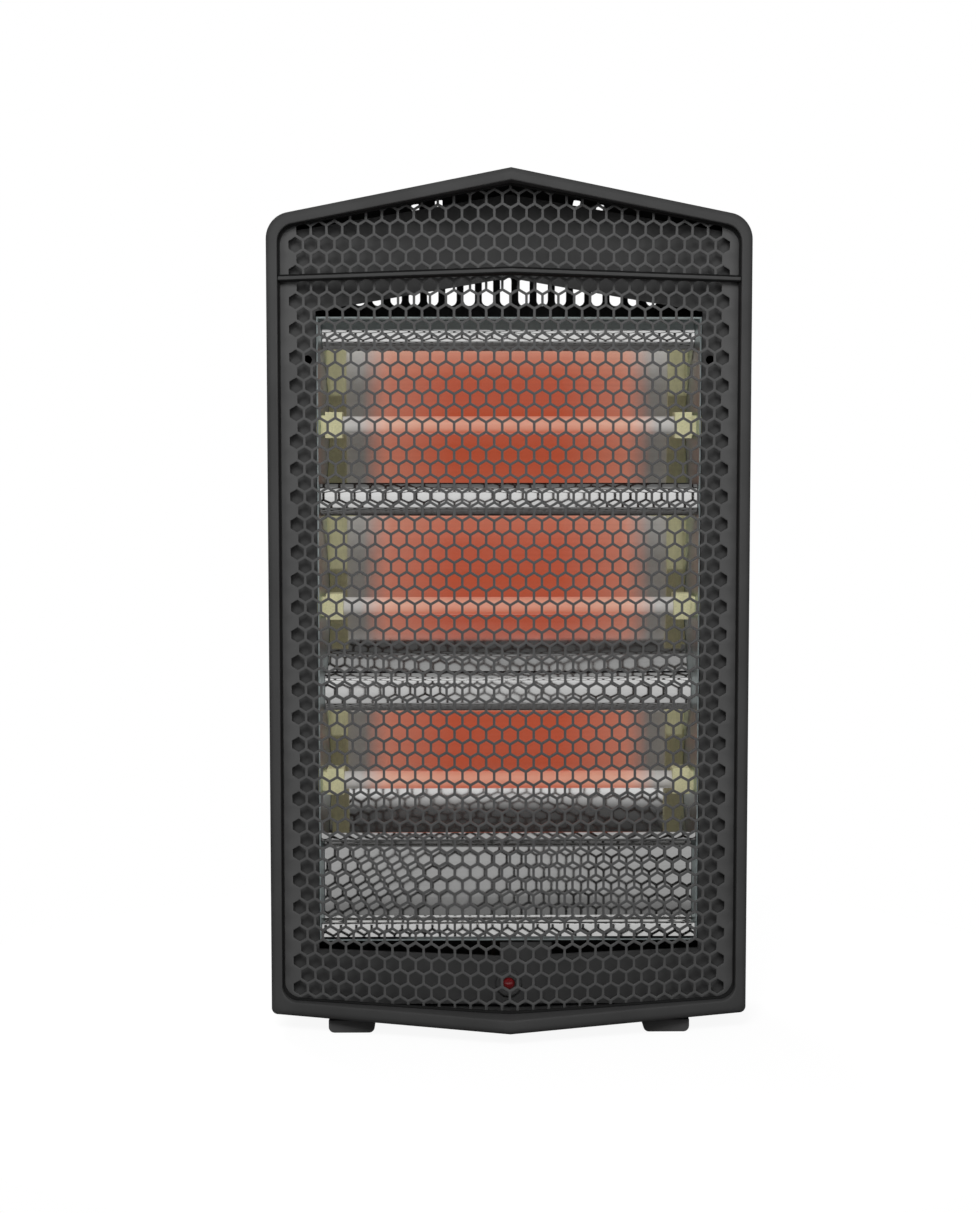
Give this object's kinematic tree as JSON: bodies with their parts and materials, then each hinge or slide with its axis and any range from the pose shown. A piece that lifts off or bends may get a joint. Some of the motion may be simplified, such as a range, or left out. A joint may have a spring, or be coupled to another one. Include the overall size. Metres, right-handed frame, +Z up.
{
  "type": "quartz tower heater",
  "caption": "Free-standing quartz radiant heater with a gabled hexagon grille over glowing tubes and parabolic reflectors, a rear carry handle, a selector knob and a tip-over plunger.",
  "frame": {"origin": "floor level under the middle of the part's box, midway between the front ridge and the heels of the feet", "axes": "+X to the viewer's right, +Y from the grille to the back, +Z up"},
  "size_m": [0.32, 0.2, 0.571],
  "materials": {
    "black_paint": "satin black paint on perforated steel",
    "black_plastic": "fine satin moulding",
    "red_lens": "clear red, glossy",
    "polished_aluminium": "bright polished sheet",
    "zinc_steel": "bright zinc plate",
    "quartz": "milky quartz, lit from inside",
    "heating_wire": "glowing resistance wire",
    "steatite": "cream unglazed ceramic",
    "brass_shaft": "turned",
    "switch_plastic": "dark moulded resin",
    "white_plastic": "natural white moulding",
    "gland_rubber": "soft black rubber"
  },
  "bodies": {
    "heater_body": {"grille": "black_paint", "front_frame": "black_plastic", "cross_rail": "black_plastic", "inner_mask": "black_paint", "pilot_bezel": "black_plastic", "pilot_lens": "red_lens", "reflector_upper": "polished_aluminium", "reflector_middle": "polished_aluminium", "reflector_lower": "polished_aluminium", "lower_deflector": "polished_aluminium", "reflector_side_left": "polished_aluminium", "reflector_side_right": "polished_aluminium", "reflector_roof": "polished_aluminium", "reflector_floor": "polished_aluminium", "heat_shield": "zinc_steel", "quartz_tube_upper": "quartz", "quartz_tube_middle": "quartz", "quartz_tube_lower": "quartz", "heating_coil_upper": "heating_wire", "heating_coil_middle": "heating_wire", "heating_coil_lower": "heating_wire", "ceramic_end_upper_left": "steatite", "ceramic_end_middle_left": "steatite", "ceramic_end_lower_left": "steatite", "ceramic_end_upper_right": "steatite", "ceramic_end_middle_right": "steatite", "ceramic_end_lower_right": "steatite", "terminals_left": "zinc_steel", "terminals_right": "zinc_steel", "tube_bracket_left": "zinc_steel", "tube_bracket_right": "zinc_steel", "rear_housing": "black_plastic", "carry_handle": "black_plastic", "rotary_switch": "switch_plastic", "thermal_cutout": "switch_plastic", "tip_switch": "switch_plastic", "foot_left": "black_plastic", "foot_right": "black_plastic", "cord_gland": "gland_rubber", "foot_screws": "zinc_steel", "shield_screws": "zinc_steel", "handle_screws": "zinc_steel"},
    "selector": {"control_knob": "black_plastic", "switch_shaft": "brass_shaft"},
    "plunger": {"tip_plunger": "white_plastic"}
  },
  "joints": [
    {"name": "selector_turn", "type": "hinge", "parent": "heater_body", "child": "selector", "pos_m": [0, 0.06, 0.33], "axis": [0, -1, 0], "range_deg": [0, 135]},
    {"name": "plunger_drop", "type": "slide", "parent": "heater_body", "child": "plunger", "axis": [0, 0, 1], "range_m": [-0.008, 0.0005], "stiffness_N_per_m": 60, "springref_m": -0.02}
  ]
}
